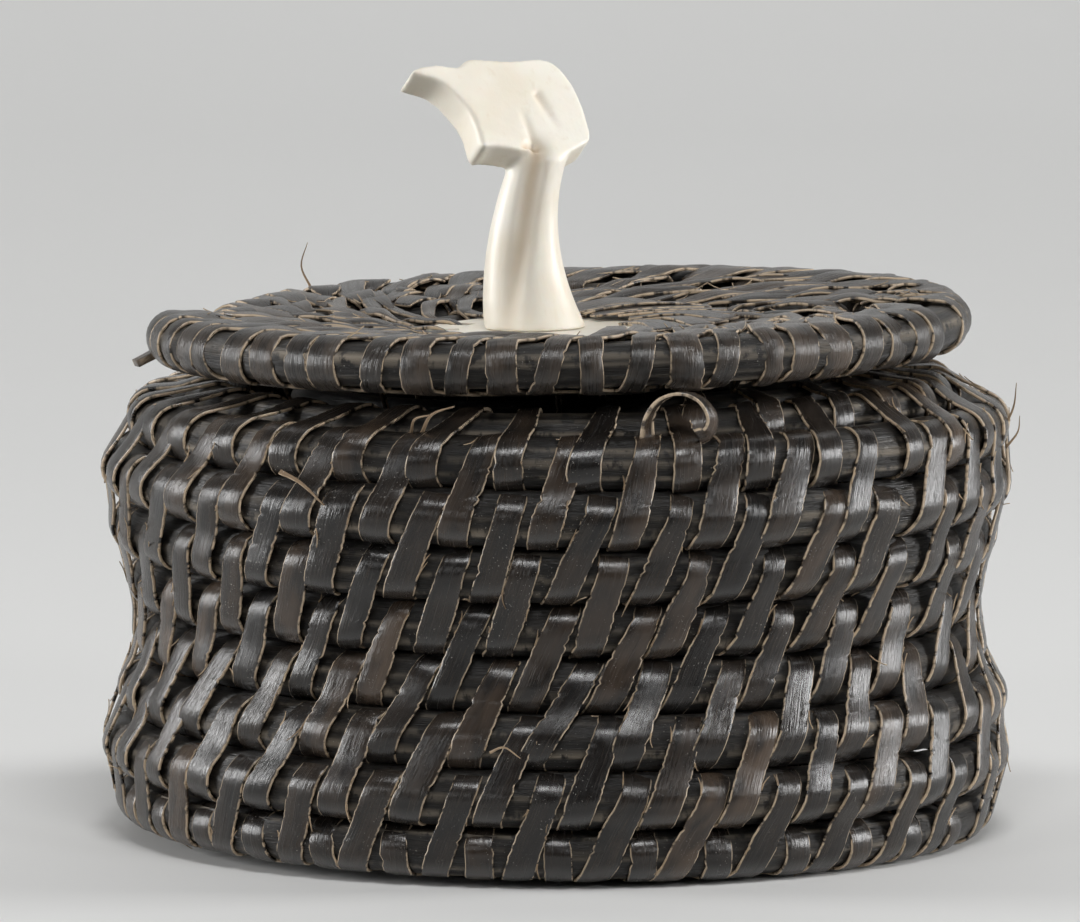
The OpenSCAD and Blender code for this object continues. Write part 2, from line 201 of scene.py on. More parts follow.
# The lid lies on the rim, tilted as the last turn climbs
rim_left = BASKET[-3]
rim_right = BASKET[-2]
LID_TILT = math.atan((rim_right[1] - rim_left[1]) / (rim_right[0] + rim_left[0]))
RIM_TURNS = 1.5
RIM_STEPS = 144
rim = [at(BASKET, WALL_END - RIM_TURNS * (1 - k / RIM_STEPS)) for k in range(RIM_STEPS + 1)]
LID_SLOPE = math.atan(LID_STEP_UP / LID_STEP_OUT)


def lid_drop(r):
    """How much lower than its edge the dished lid lies at a radius."""
    return np.maximum(0.0, LID_R - r) * math.tan(LID_SLOPE)


SEAT_Z = max(p[2] - p[0] * math.tan(LID_TILT) + lid_drop(math.hypot(p[0], p[1])) for p in rim)
SEAT_Z += 2 * WRAP_R / math.cos(LID_TILT) / math.cos(LID_SLOPE) + SEAT_GAP
FLANGE_Z = -lid_drop(FLANGE_R) - PITCH


def lid_place(points):
    """From the lid's own frame to the frame of the whole."""
    c = math.cos(LID_TILT)
    s = math.sin(LID_TILT)
    out = points.copy()
    out[..., 0] = points[..., 0] * c - points[..., 2] * s
    out[..., 2] = points[..., 0] * s + points[..., 2] * c + SEAT_Z
    return out


def add_piece(name, mesh, tones, material, body, nodes):
    """Makes a mesh a piece that rides on a body and stands for CAD nodes, if any."""
    attribute = mesh.color_attributes.new("tone", "FLOAT_COLOR", "POINT")
    attribute.data.foreach_set("color", tones.astype(np.float32).ravel())
    mesh.polygons.foreach_set("use_smooth", np.ones(len(mesh.polygons), dtype=bool))
    mesh.materials.clear()
    mesh.materials.append(material)
    mesh.update()
    piece = bpy.data.objects.new(name, mesh)
    bpy.context.collection.objects.link(piece)
    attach(piece, body)
    if nodes:
        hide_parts(*nodes)


class Skin:
    """Gathers closed grids of points into one mesh with a UV map and a colour attribute."""

    def __init__(self):
        self.points = []
        self.faces = []
        self.corners = []
        self.tones = []
        self.count = 0

    def grid(self, points, u, v, tone):
        """points is rings x sides, closed round the sides and capped at both ends."""
        n, m = points.shape[:2]
        flat = points.reshape(-1, 3)
        index = np.arange(n * m).reshape(n, m)
        after = np.roll(index, -1, axis=1)
        quads = np.stack([index[:-1], after[:-1], after[1:], index[1:]], axis=-1).reshape(-1, 4)
        uv = np.stack([u, np.broadcast_to(v[:, None], u.shape)], axis=-1)
        here = uv[:, :-1]
        ahead = uv[:, 1:]
        corners = np.stack([here[:-1], ahead[:-1], ahead[1:], here[1:]], axis=2).reshape(-1, 4, 2)
        a, b, c, d = flat[quads.T]
        volume = (np.cross(c - a, d - b) * (a - flat.mean(axis=0))).sum()
        turn = -1 if volume < 0 else 1
        self.points.append(flat)
        self.tones.append(tone.reshape(-1, 4))
        self.faces.extend((quads[:, ::turn] + self.count).tolist())
        self.corners.append(corners[:, ::turn].reshape(-1, 2))
        for end, way in ((0, -turn), (-1, turn)):
            self.faces.append((index[end, ::way] + self.count).tolist())
            self.corners.append(here[end, ::way])
        self.count += n * m

    def piece(self, name, material, body, slot, nodes=()):
        mesh = bpy.data.meshes.new(name)
        points = np.concatenate(self.points) * MM
        mesh.from_pydata(points.tolist(), [], self.faces)
        layer = mesh.uv_layers.new(name="strip")
        layer.data.foreach_set("uv", np.concatenate(self.corners).astype(np.float32).ravel())
        add_piece(name, mesh, np.concatenate(self.tones), material, body, nodes)


# Node materials
def new_material(name):
    material = bpy.data.materials.new(name)
    material.use_nodes = True
    nodes = material.node_tree.nodes
    nodes.clear()
    output = nodes.new("ShaderNodeOutputMaterial")
    shader = nodes.new("ShaderNodeBsdfPrincipled")
    material.node_tree.links.new(shader.outputs[0], output.inputs[0])
    return material, shader


class Tree:
    """Short ways to add nodes to a material."""

    def __init__(self, material):
        self.nodes = material.node_tree.nodes
        self.link = material.node_tree.links.new

    def put(self, socket, value):
        if isinstance(value, bpy.types.NodeSocket):
            self.link(value, socket)
        else:
            socket.default_value = value

    def add(self, kind, values):
        """A new node, with values or other nodes' outputs put in its inputs."""
        node = self.nodes.new("ShaderNode" + kind)
        for key, value in values.items():
            self.put(node.inputs[key], value)
        return node

    def math(self, operation, a, b=0.0, clamp=False):
        node = self.add("Math", {0: a, 1: b})
        node.operation = operation
        node.use_clamp = clamp
        return node.outputs[0]

    def noise(self, vector, scale, detail=3.0, rough=0.55):
        values = {"Vector": vector, "Scale": scale, "Detail": detail, "Roughness": rough}
        return self.add("TexNoise", values).outputs["Fac"]

    def ramp(self, value, low, high):
        return self.span(value, low, high, 0.0, 1.0, "SMOOTHSTEP")

    def span(self, value, low, high, to_low, to_high, kind="LINEAR"):
        values = {"Value": value, "From Min": low, "From Max": high, "To Min": to_low, "To Max": to_high}
        node = self.add("MapRange", values)
        node.interpolation_type = kind
        return node.outputs["Result"]

    def mix(self, share, a, b):
        node = self.nodes.new("ShaderNodeMix")
        node.data_type = "RGBA"
        self.put(node.inputs[0], share)
        self.put(node.inputs[6], a)
        self.put(node.inputs[7], b)
        return node.outputs[2]

    def tone(self):
        """A mesh's own tones: a chance value, the share of cut edge (on rods, of painted highlight on the
        raised fibres; on the finial, of painted shade in the carved hollows), and the brownness.
        """
        node = self.add("Attribute", {})
        node.attribute_name = "tone"
        return self.add("SeparateColor", {0: node.outputs["Color"]}).outputs[:3]

    def grain(self, across, along, spread):
        """Coordinates for streaks that run along a strip, different on each."""
        node = self.add("UVMap", {})
        node.uv_map = "strip"
        u, v = self.add("SeparateXYZ", {0: node.outputs[0]}).outputs[:2]
        values = {0: self.math("MULTIPLY", u, across), 1: self.math("MULTIPLY", v, along), 2: spread}
        return self.add("CombineXYZ", values).outputs[0]

    def place(self):
        return self.add("TexCoord", {}).outputs["Object"]

    def upright(self, share):
        """Places drawn together along Z, so that a noise on them makes upright streaks."""
        return self.add("Mapping", {"Vector": self.place(), "Scale": (1.0, 1.0, share)}).outputs[0]

    def bent(self):
        """1 where a piece's surface looks up or down, 0 where it stands upright."""
        normal = self.add("TexCoord", {}).outputs["Normal"]
        up = self.add("SeparateXYZ", {0: normal}).outputs[2]
        return self.ramp(self.math("ABSOLUTE", up), 0.2, 0.65)

    def bump(self, height, strength, distance):
        values = {"Strength": strength, "Distance": distance, "Height": height}
        return self.add("Bump", values).outputs[0]


def baleen(name, dark, mid, brown, edge, dust, rough, gloss, relief):
    """Split baleen: streaked lengthwise with painted sheen in its fine streaks, pale at its ragged cut edges
    (on rods, painted highlight along the raised fibres), a little dusty, shiny on its bends.
    """
    material, shader = new_material(name)
    tree = Tree(material)
    chance_value, edge_and_ridge_highlight, brownness = tree.tone()
    spread = tree.math("MULTIPLY", chance_value, 83.0)
    streaks = tree.noise(tree.grain(5.5, 0.16, spread), 1.0, 4.0, 0.6)
    fine = tree.noise(tree.grain(16.0, 0.35, spread), 1.0, 2.0, 0.5)
    clouds = tree.noise(tree.grain(0.5, 0.22, spread), 1.0, 2.0, 0.5)
    speck = tree.noise(tree.place(), 5200.0, 1.0, 0.4)
    patch = tree.noise(tree.place(), 130.0, 2.0, 0.5)
    colour = tree.mix(tree.ramp(streaks, 0.36, 0.72), dark, mid)
    brown_share = tree.math("MULTIPLY", brownness, tree.ramp(clouds, 0.22, 0.7), True)
    colour = tree.mix(brown_share, colour, brown)
    # Paler fine streaks along the grain, lightened as painted sheen.
    lit = tree.math("MULTIPLY", tree.ramp(fine, 0.56, 0.74), 0.34)
    colour = tree.mix(lit, colour, brown)
    # On strips this mask gives their pale cut edges; on rods it gives painted highlight on the highest
    # fibres.
    tear_and_highlight_noise = tree.noise(tree.grain(0.6, 0.9, spread), 1.0)
    frayed_edge_and_ridge_highlight = tree.math("MULTIPLY", edge_and_ridge_highlight, tree.ramp(tear_and_highlight_noise, 0.36, 0.52))
    colour = tree.mix(tree.math("MULTIPLY", frayed_edge_and_ridge_highlight, 0.85), colour, edge)
    dusty = tree.math("MULTIPLY", tree.ramp(speck, 0.70, 0.78), tree.ramp(patch, 0.46, 0.66))
    colour = tree.mix(tree.math("MULTIPLY", dusty, 0.7), colour, dust)
    tree.put(shader.inputs["Base Color"], colour)
    shine = tree.math("ADD", tree.span(streaks, 0.2, 0.8, rough - 0.07, rough + 0.1),
                      tree.math("MULTIPLY", frayed_edge_and_ridge_highlight, 0.2))
    tree.put(shader.inputs["Roughness"], shine)
    tree.put(shader.inputs["Specular IOR Level"], tree.span(tree.bent(), 0.0, 1.0, 0.5 * gloss, gloss))
    height = tree.math("ADD", streaks, tree.math("MULTIPLY", fine, 0.5))
    tree.put(shader.inputs["Normal"], tree.bump(height, relief, 0.00016))
    return material


strip_skin = baleen("baleen_strip", dark=(0.004, 0.0037, 0.0036, 1), mid=(0.013, 0.012, 0.0112, 1),
                    brown=(0.078, 0.054, 0.037, 1), edge=(0.64, 0.50, 0.35, 1), dust=(0.45, 0.43, 0.40, 1),
                    rough=0.22, gloss=1.0, relief=0.4)
lid_skin = baleen("baleen_lid_strip", dark=(0.0058, 0.0052, 0.0048, 1), mid=(0.02, 0.0175, 0.0152, 1),
                  brown=(0.08, 0.059, 0.043, 1), edge=(0.60, 0.47, 0.33, 1), dust=(0.45, 0.43, 0.40, 1),
                  rough=0.28, gloss=0.9, relief=0.55)
# For the rods the pale edge colour is painted highlight along their raised fibres.
rod_skin = baleen("baleen_rod", dark=(0.0022, 0.002, 0.0019, 1), mid=(0.0065, 0.006, 0.0055, 1),
                  brown=(0.075, 0.06, 0.046, 1), edge=(0.26, 0.22, 0.17, 1), dust=(0.36, 0.34, 0.31, 1),
                  rough=0.36, gloss=0.5, relief=1.0)
fibre_skin = baleen("baleen_fibre", dark=(0.16, 0.105, 0.06, 1), mid=(0.34, 0.24, 0.15, 1),
                    brown=(0.42, 0.31, 0.20, 1), edge=(0.55, 0.44, 0.31, 1), dust=(0.6, 0.57, 0.5, 1),
                    rough=0.5, gloss=0.4, relief=0.5)


def make_ivory(name, shade_hollows):
    """Walrus ivory: creamy, with a faint grain, and, where asked for, with painted shade in its carved
    hollows.
    """
    material, shader = new_material(name)
    tree = Tree(material)
    grain = tree.noise(tree.upright(0.16), 900.0, 4.0, 0.6)
    cloud = tree.noise(tree.place(), 110.0, 3.0, 0.5)
    colour = tree.mix(tree.ramp(cloud, 0.3, 0.7), (0.82, 0.755, 0.635, 1), (0.885, 0.845, 0.755, 1))
    streak = tree.math("MULTIPLY", tree.ramp(grain, 0.55, 0.75), 0.22)
    colour = tree.mix(streak, colour, (0.66, 0.53, 0.37, 1))
    # Painted shade: the carved hollows are mixed towards a darker tan.
    if shade_hollows:
        hollow_shade = tree.tone()[1]
        colour = tree.mix(hollow_shade, colour, (0.52, 0.38, 0.23, 1))
    tree.put(shader.inputs["Base Color"], colour)
    tree.put(shader.inputs["Roughness"], tree.span(grain, 0.2, 0.8, 0.30, 0.46))
    shader.inputs["Specular IOR Level"].default_value = 0.35
    shader.inputs["Subsurface Weight"].default_value = 0.12
    shader.inputs["Subsurface Radius"].default_value = (0.0022, 0.0013, 0.0008)
    tree.put(shader.inputs["Normal"], tree.bump(grain, 0.18, 0.0002))
    return material


ivory_carved = make_ivory("ivory_carved", True)
ivory_plain = make_ivory("ivory_plain", False)


def make_wood():
    material, shader = new_material("peg_wood")
    tree = Tree(material)
    grain = tree.noise(tree.upright(0.08), 1600.0, 4.0, 0.6)
    colour = tree.mix(tree.ramp(grain, 0.35, 0.7), (0.19, 0.115, 0.06, 1), (0.36, 0.25, 0.15, 1))
    tree.put(shader.inputs["Base Color"], colour)
    tree.put(shader.inputs["Roughness"], tree.span(grain, 0.2, 0.8, 0.5, 0.7))
    tree.put(shader.inputs["Normal"], tree.bump(grain, 0.3, 0.0002))
    return material


peg_wood = make_wood()


# Sewing strips
def phase():
    return chance.uniform(0, 6.28)


def wave(s, size, turns):
    """A slow random wave along a strip."""
    a = phase()
    b = phase()
    return size * (0.6 * np.sin(s * turns + a) + 0.4 * np.sin(s * turns * 2.3 + b))


def bend(points, w, start, along):
    """Moves points by w along a rod that goes round the Z axis."""
    r = math.hypot(start[0], start[1])
    out = np.array([start[0] / r, start[1] / r, 0.0])
    forward = np.array([out[1], -out[0], 0.0])
    angle = -w * float(along @ forward) / r
    c = np.cos(angle)
    s = np.sin(angle)
    moved = np.empty_like(points)
    moved[..., 0] = points[..., 0] * c - points[..., 1] * s
    moved[..., 1] = points[..., 0] * s + points[..., 1] * c
    moved[..., 2] = points[..., 2] + w * along[2]
    moved += (w * float(along @ out))[..., None] * out
    return moved


# A strip's section, once round it: place across, side (1 the face, -1 the back), and share of cut edge
ACROSS = np.array([-1.0, -0.975, -0.89, -0.45, 0.0, 0.45, 0.89, 0.975, 1.0, 0.96, 0.4, -0.4, -0.96])
FACE = np.array([0.0, 0.75, 1.0, 1.0, 1.0, 1.0, 1.0, 0.75, 0.0, -1.0, -1.0, -1.0, -1.0])
CUT = np.array([1.0, 1.0, 0.0, 0.0, 0.0, 0.0, 0.0, 1.0, 1.0, 1.0, 0.0, 0.0, 1.0])
ACROSS_ROUND = np.append(ACROSS, ACROSS[0])
FACE_MIDDLE = 4
BACK_MIDDLE = (10, 11)
FACE_EDGES = (1, 7)
HIDDEN_STEPS = 3
BEND_STEPS = 12
FACE_STEPS = 18
FACE_ROWS = (HIDDEN_STEPS + BEND_STEPS // 2, HIDDEN_STEPS + BEND_STEPS + FACE_STEPS + BEND_STEPS // 2)
# The strips as drawn: thickness, roughness of a cut edge, nicks in it, and the run of grain they come from
DRAWN_T = 0.36
LOOSE_T = 0.3
CUT_STEP = 0.035
NICK = 0.2
NICK_SHARE = 0.05
GRAIN_RUN = 400
# Fibres that split off the strips' edges, which stay short where the lid lies over them
FIBRE_W = 0.2
FIBRE_T = 0.1
FIBRE_STEPS = 6
LONG_FIBRE = 2.4
SHORT_FIBRE = 0.5


def ragged(n, size):
    """A rough cut edge: small steps, and a nick now and then."""
    steps = []
    for _ in range(n):
        step = chance.gauss(0, size)
        steps.append(step - NICK if chance.random() < NICK_SHARE else step)
    return np.array(steps)


def belt(length, low_r, high_r, dip):
    """A loop round two rods, from the middle of the hidden side back to it: places, normals and run."""
    rows = []
    for k in range(HIDDEN_STEPS):
        rows.append((length * (0.5 - 0.5 * k / HIDDEN_STEPS), -low_r, 0.0, -1.0))
    for k in range(BEND_STEPS + 1):
        a = math.pi * k / BEND_STEPS
        rows.append((-low_r * math.sin(a), -low_r * math.cos(a), -math.sin(a), -math.cos(a)))
    for k in range(1, FACE_STEPS):
        f = k / FACE_STEPS
        v = low_r + (high_r - low_r) * f - dip * math.sin(math.pi * f) ** 2
        slope = (high_r - low_r - dip * math.pi * math.sin(2 * math.pi * f)) / length
        size = math.hypot(1.0, slope)
        rows.append((length * f, v, -slope / size, 1.0 / size))
    for k in range(BEND_STEPS + 1):
        a = math.pi * k / BEND_STEPS
        rows.append((length + high_r * math.sin(a), high_r * math.cos(a), math.sin(a), math.cos(a)))
    for k in range(HIDDEN_STEPS):
        rows.append((length * (1 - 0.5 * (k + 1) / HIDDEN_STEPS), -high_r, 0.0, -1.0))
    rows = np.array(rows)
    return *rows.T, run_along(rows[:, :2])


def strip_tone(n, brown, fray):
    tone = np.ones((n, len(ACROSS), 4))
    tone[..., 0] = chance.random()
    tone[..., 1] = CUT * fray
    tone[..., 2] = brown
    return tone


def ribbon(skin, middles, faces, width, thick, brown, fray=1.0, place=None):
    """An open strip along a list of points, with the way that its face looks at each."""
    n = len(middles)
    ahead = units(np.gradient(middles, axis=0))
    aside = units(np.cross(ahead, faces))
    up = np.cross(aside, ahead)
    half = np.broadcast_to(width, n)[:, None] / 2
    points = middles[:, None] + (ACROSS * half)[..., None] * aside[:, None]
    points = points + (FACE * thick / 2)[:, None] * up[:, None]
    if place:
        points = place(points)
    run = run_along(middles) + chance.uniform(0, GRAIN_RUN)
    skin.grid(points, ACROSS_ROUND * half, run, strip_tone(n, brown, fray))


def split_off(fibres, points, longest):
    """Fibres that have split away from the edges of a strip."""
    s = np.linspace(0, 1, FIBRE_STEPS)
    for _ in range(chance.choice((0, 1, 1, 2, 3))):
        i = chance.randrange(*FACE_ROWS)
        edge = chance.choice(FACE_EDGES)
        start = points[i, edge]
        out = unit(points[i, FACE_MIDDLE] - points[i, BACK_MIDDLE[0]] / 2 - points[i, BACK_MIDDLE[1]] / 2)
        aside = unit(start - points[i, FACE_MIDDLE])
        ahead = unit(points[i + 1, edge] - start) * chance.choice((-1, 1))
        size = longest * chance.uniform(0.2, 1.0)
        away = chance.uniform(0.0, 0.5) * aside + chance.uniform(0.0, 0.3) * out
        middles = start + size * (s[:, None] * ahead + (s ** 2)[:, None] * away)
        faces = np.tile(out, (FIBRE_STEPS, 1))
        ribbon(fibres, middles, faces, FIBRE_W * (1 - 0.75 * s), FIBRE_T, chance.random())


def strip(skin, bottom, top, along, face, width, lean, low_r, high_r, place=None, *, brown, dip, taper,
          hold=4.0, leaf=0.0, twist=0.05, crown=0.05, fibres=None, longest=LONG_FIBRE):
    """One stitch: a thin strip drawn round two rods, ragged along its cut edges."""
    length = np.linalg.norm(top - bottom)
    x = unit(top - bottom)
    z = unit(along - (along @ x) * x)
    y = np.cross(z, x) * face
    u, v, nu, nv, run = belt(length, low_r, high_r, dip)
    n = len(u)
    f = np.clip(u / length, 0, 1)
    grow = 1 - taper * smooth((u / length - 0.35) / 0.9) - leaf * (2 * f - 1) ** 2
    grow = grow + wave(run, 0.035, 0.5)
    slanted = smooth(np.minimum(u + hold, length + hold - u) / 1.5 + 0.5)
    half = width / 2 / np.cos(lean * slanted)
    left = half * grow + ragged(n, CUT_STEP)
    right = half * grow + ragged(n, CUT_STEP)
    reach = np.where(ACROSS < 0, left[:, None], right[:, None])
    slant = -(np.clip(u, -hold, length + hold) - length / 2) * math.tan(lean)
    w = slant[:, None] + ACROSS * reach + wave(run, 0.09, 0.35)[:, None]
    lift = FACE * DRAWN_T / 2 + crown * (1 - ACROSS ** 2) * (FACE > 0)
    lift = lift + twist * ACROSS * np.sin(run * 0.45 + phase())[:, None]
    pu = u[:, None] + nu[:, None] * lift
    pv = v[:, None] + nv[:, None] * lift
    points = bottom + pu[..., None] * x + pv[..., None] * y
    points = bend(points, w, (bottom + top) / 2, z)
    if place:
        points = place(points)
    across = np.tile(ACROSS_ROUND * width / 2, (n, 1))
    skin.grid(points, across, run + chance.uniform(0, GRAIN_RUN), strip_tone(n, brown, 1.0))
    if fibres:
        split_off(fibres, points, longest)


def stitch_w(path, t, count):
    r = min(radius_at(path, t), radius_at(path, t - 1)) - WRAP_R
    return min(STRIP_W, STRIP_COVER * math.pi * r / count * math.cos(LEAN))


def brownness():
    """Most strips are near black, some are brown."""
    return chance.choice((0.05, 0.1, 0.15, 0.2, 0.25, 0.3, 0.4, 0.55, 0.85))


# Radius of a strip's middle where it lies on a rod, and where it lies over the strips of the row below
SNUG_R = 2.7
OVER_R = 2.99

base_row_phase = 0.5 / BASE_STITCHES
foot_phase = 2 * base_row_phase + 0.5 / WALL_STITCHES
lean_phase = PITCH * math.tan(LEAN) * WALL_STITCHES / (2 * math.pi * WAIST_R)


def wall_phase(row):
    return foot_phase + (0.5 - 0.75 * lean_phase + (row - 1) * (0.5 - lean_phase)) / WALL_STITCHES


def foot_t(k):
    return BASE_TURNS + foot_phase + k / WALL_STITCHES


def foot_lower(k):
    return nearest_t(foot_t(k)) if foot_t(k) < BASE_TURNS + 1 else foot_t(k) - 1


def base_t(row, k):
    if row == BASE_TURNS - 1:
        return (foot_lower(2 * k - 1) + foot_lower(2 * k)) / 2
    return row + (row - 1) * base_row_phase + k / BASE_STITCHES


def basket_stitch(skin, t, lower, width, lean, low_r, face, **look):
    along = unit(heading(BASKET, t) + heading(BASKET, lower))
    strip(skin, at(BASKET, lower), at(BASKET, t), along, face, width, lean, low_r, SNUG_R, **look)


for row in range(1, BASE_TURNS):
    skin = Skin()
    for k in range(BASE_STITCHES):
        t = base_t(row, k)
        width = stitch_w(BASKET, t, BASE_STITCHES)
        lean = math.radians(chance.uniform(-3, 3))
        basket_stitch(skin, t, nearest_t(t), width, lean, SNUG_R, 1, brown=brownness(), dip=0.1, taper=0.05)
    skin.piece(f"base_sewing_{row}", strip_skin, "basket", "baleen_strip", [f"base_stitches_{row}"])

skin = Skin()
for k in range(WALL_STITCHES):
    t = foot_t(k)
    width = stitch_w(BASKET, t, WALL_STITCHES)
    lean = math.radians(chance.uniform(-2, 4))
    basket_stitch(skin, t, foot_lower(k), width, lean, SNUG_R, 1, brown=brownness(), dip=0.1, taper=0.0)
skin.piece("foot_sewing", strip_skin, "basket", "baleen_strip", ["foot_stitches"])

# The wall's strips lean a little more than in the CAD model, and stray a little along the rods
SEEN_LEAN = math.radians(20)
ASTRAY = 0.28
basket_fibres = Skin()
for row in range(1, WALL_ROWS + 2):
    skin = Skin()
    for k in range(WALL_STITCHES):
        t = BASE_TURNS + row + wall_phase(row) + k / WALL_STITCHES
        if t < WALL_END - 0.5 / WALL_STITCHES:
            t += chance.gauss(0, ASTRAY) / (2 * math.pi * WAIST_R)
            width = stitch_w(BASKET, t, WALL_STITCHES) * chance.uniform(0.86, 1.08)
            lean = SEEN_LEAN + math.radians(chance.gauss(0, 3.2))
            basket_stitch(skin, t, t - 1, width, lean, SNUG_R if row == 1 else OVER_R, -1, brown=brownness(),
                          dip=chance.uniform(0.0, 0.3), taper=chance.uniform(-0.05, 0.2),
                          twist=chance.uniform(0.0, 0.14), crown=chance.uniform(-0.03, 0.1),
                          fibres=basket_fibres, longest=LONG_FIBRE if row < WALL_ROWS else SHORT_FIBRE)
    if row <= WALL_ROWS:
        skin.piece(f"wall_sewing_{row}", strip_skin, "basket", "baleen_strip", [f"wall_stitches_{row}"])
    else:
        skin.piece("coil_end_sewing", strip_skin, "basket", "baleen_strip", ["coil_end_stitches"])

lid_row_phase = 0.5 / LID_STITCHES


def lid_t(row, k):
    return row + (row - 1) * lid_row_phase + k / LID_STITCHES


def is_lashing(t, k):
    return k % LASHING_EVERY == 0 and abs(radius_at(LID, t - 1) - FLANGE_R) < PITCH / 2


lid_fibres = Skin()
LID_SLANT = math.radians(-42)
for row in range(1, LID_TURNS + 1):
    skin = Skin()
    for k in range(LID_STITCHES):
        t = lid_t(row, k)
        if t < LID_END and not is_lashing(t, k):
            along = unit(heading(LID, t) + heading(LID, t - 1))
            width = stitch_w(LID, t, LID_STITCHES) * chance.uniform(1.0, 1.3)
            lean = LID_SLANT + math.radians(chance.gauss(0, 7))
            low_r = chance.uniform(2.70, 2.9)
            high_r = chance.uniform(2.70, 2.85)
            strip(skin, at(LID, t - 1), at(LID, t), along, 1, width, lean, low_r, high_r, lid_place,
                  hold=0.7, leaf=chance.uniform(0, 0.25), brown=chance.uniform(0.2, 1.0),
                  dip=chance.uniform(-0.55, 0.1), taper=chance.uniform(-0.1, 0.15),
                  twist=chance.uniform(0.0, 0.25), crown=chance.uniform(0.0, 0.25), fibres=lid_fibres)
    skin.piece(f"lid_sewing_{row}", lid_skin, "lid", "baleen_strip", [f"lid_stitches_{row}"])


def ring_points(angle, r, z):
    """Points about the lid's axis, and the outward way at each."""
    radial = np.stack([np.cos(angle), np.sin(angle), np.zeros(len(angle))], axis=1)
    return r[:, None] * radial + z[:, None] * UP, radial


# A wrap of the lid's edge goes round the rod from under it to its top, and then has a tail
WRAP_ROUND = np.radians(np.linspace(-170, 88, 28))
WRAP_TAIL = np.linspace(0, 1, 15)[1:]


def edge_wrap(skin, t, width, lean, r, tail, brown):
    """A strip wound round the lid's edge, whose end runs slantwise inwards over the top."""
    middle = at(LID, t)
    big_r = math.hypot(middle[0], middle[1])
    phi = WRAP_ROUND
    s = WRAP_TAIL
    out = np.concatenate([r * np.cos(phi), r * math.cos(phi[-1]) - tail * s])
    fall = tail * s * math.tan(LID_SLOPE)
    up = np.concatenate([r * np.sin(phi), r + 0.35 * np.sin(math.pi * s) - 0.5 * s ** 3 - fall])
    shift = math.tan(lean) * r * phi
    shift = np.concatenate([shift, shift[-1] + 0.9 * tail * s ** 1.3])
    angle = math.atan2(middle[1], middle[0]) + shift / big_r
    middles, radial = ring_points(angle, big_r + out, middle[2] + up)
    tilt = np.concatenate([phi, np.full(len(s), math.pi / 2)])
    faces = np.cos(tilt)[:, None] * radial + np.sin(tilt)[:, None] * UP
    across = np.concatenate([np.full(len(phi), 1.0), 1 + 0.25 * np.sin(math.pi * s) - 0.7 * s ** 2])
    ragged_width = width * (across + ragged(len(across), 0.015))
    ribbon(skin, middles, faces, ragged_width, DRAWN_T, brown, place=lid_place)


FRONT = -math.pi / 2
# The slanted sewing strips reach the edge this share of a stitch further on, and the wraps lie between
EDGE_ASIDE = 0.35
skin = Skin()
for row in (LID_TURNS - 1, LID_TURNS):
    for k in range(LID_STITCHES):
        t = lid_t(row, k + 0.5 + EDGE_ASIDE)
        if LID_END - 1 < t < LID_END - lid_row_phase:
            middle = at(LID, t)
            off_front = abs(math.atan2(middle[1], middle[0]) - FRONT)
            # At the front the wraps are narrow and lean more, so that the rod shows between them
            bare = 1 - smooth((off_front - 0.35) / 0.3)
            lean = math.radians(chance.gauss(6, 4) + 12 * bare)
            width = STRIP_W * chance.uniform(0.95, 1.12) * (1 - 0.22 * bare)
            r = chance.uniform(2.74, 2.9)
            edge_wrap(skin, t, width, lean, r, chance.uniform(3.0, 6.5), chance.uniform(0.1, 0.8))
skin.piece("lid_edge_wrapping", lid_skin, "lid", "baleen_strip", ["lid_edge_wraps"])


def edge_r(angle):
    """Radius of the lid's outermost turn on the way that an angle looks."""
    share = -angle / (2 * math.pi) % 1
    return radius_at(LID, math.floor(LID_END - share) + share)


def loose_end(skin, angle, r, z, tilt, width):
    """The end of a strip that lies loose on the lid, in the lid's own frame."""
    middles, radial = ring_points(angle, r, z)
    faces = UP + tilt * radial
    width = width + ragged(END_STEPS, 0.04)
    ribbon(skin, middles, faces, width, LOOSE_T, chance.uniform(0.2, 1.0), place=lid_place)


END_STEPS = 12
LOOSE_ENDS = 110
# The loose ends start this far above the middle of the lid's rods
LOOSE_Z = 2.6
skin = Skin()
s = np.linspace(0, 1, END_STEPS)
for _ in range(LOOSE_ENDS):
    length = chance.uniform(4.5, 10)
    slant = math.radians(chance.uniform(20, 75))
    first_angle = chance.uniform(0, 2 * math.pi)
    start_r = LID_FIRST_R + 3 + (edge_r(first_angle) - LID_FIRST_R - 5) * math.sqrt(chance.random())
    r = np.maximum(start_r - length * math.cos(slant) * s, LID_DISC_R - 0.5)
    angle = first_angle + length * math.sin(slant) * s / start_r
    z = LOOSE_Z + 0.5 * np.sqrt(s) - lid_drop(r)
    z = z + chance.uniform(0, 0.4) * np.sin(math.pi * s) - chance.uniform(0.2, 0.6) * s ** 3
    tilt = chance.uniform(-0.35, 0.35)
    width = STRIP_W * chance.uniform(0.35, 1.1) * (1 - chance.uniform(0.1, 0.85) * s ** 2)
    loose_end(skin, angle, r, z, tilt, width)
# On the right, ends of the first row lie over the disc: their count, outer radius, first angle and spread
DISC_ENDS = 15
DISC_ENDS_R = 19.5
DISC_ENDS_FROM = -78
DISC_ENDS_ROUND = 150
for k in range(DISC_ENDS):
    first_angle = DISC_ENDS_FROM + DISC_ENDS_ROUND * (k + chance.uniform(0.1, 0.9)) / DISC_ENDS
    r = DISC_ENDS_R + (chance.uniform(6.8, 9.5) - DISC_ENDS_R) * s
    angle = math.radians(first_angle) + chance.uniform(0.3, 0.7) * s ** 1.4
    z = 0.85 - 0.45 * s + chance.uniform(0.1, 0.6) * np.sin(math.pi * s)
    tilt = chance.uniform(-0.2, 0.2)
    width = STRIP_W * chance.uniform(0.7, 1.2) * (1 - chance.uniform(0.3, 0.7) * s ** 2)
    loose_end(skin, angle, r, z, tilt, width)
